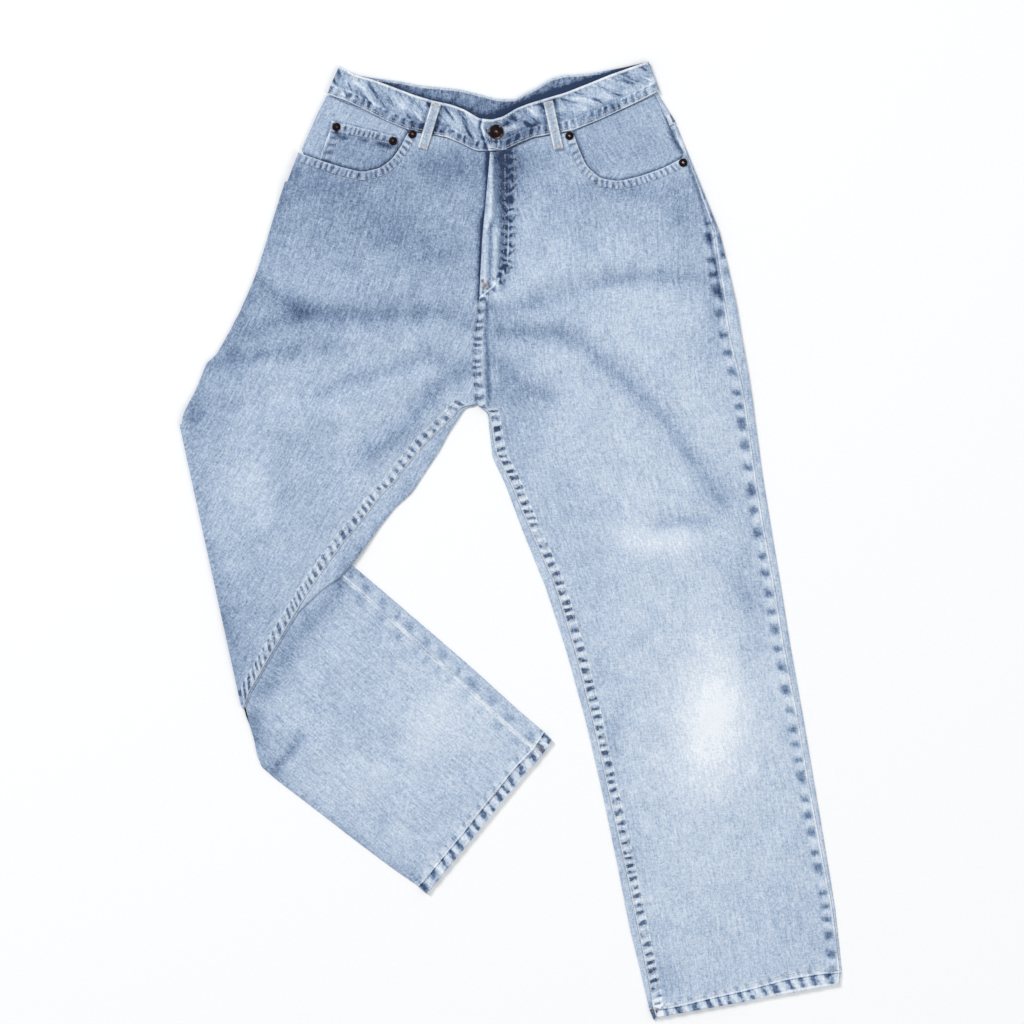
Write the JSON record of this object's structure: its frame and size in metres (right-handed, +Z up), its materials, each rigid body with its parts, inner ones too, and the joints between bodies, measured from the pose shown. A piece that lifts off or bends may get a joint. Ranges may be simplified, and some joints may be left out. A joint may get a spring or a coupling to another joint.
{
  "type": "pair of jeans, laid flat",
  "caption": "High-rise straight five-pocket jeans in faded blue denim, laid flat front up with one leg folded under at the knee.",
  "frame": {"origin": "middle of the box round the laid garment, on the surface that it lies on", "axes": "+Y from the hems to the waist, +X to the wearer's left, +Z up out of the surface"},
  "size_m": [0.728, 1.055, 0.013],
  "materials": {
    "denim": "stone-washed light blue cotton twill, dark and pale puckers along its felled seams",
    "worn_denim": "the same twill worn nearly white on the belt loops",
    "dark_copper": "aged dark copper, worn brighter in the middle"
  },
  "bodies": {
    "root": {"waistband": "denim", "front_right": "denim", "front_left": "denim", "back_right": "denim", "back_left": "denim", "yoke_right": "denim", "yoke_left": "denim", "facing_right": "denim", "facing_left": "denim", "coin_pocket": "denim", "back_pocket_right": "denim", "back_pocket_left": "denim", "belt_loop_1": "worn_denim", "belt_loop_2": "worn_denim", "belt_loop_3": "worn_denim", "belt_loop_4": "worn_denim", "belt_loop_5": "worn_denim", "button": "dark_copper", "rivet_1": "dark_copper", "rivet_2": "dark_copper", "rivet_3": "dark_copper", "rivet_4": "dark_copper", "rivet_5": "dark_copper"}
  },
  "joints": []
}
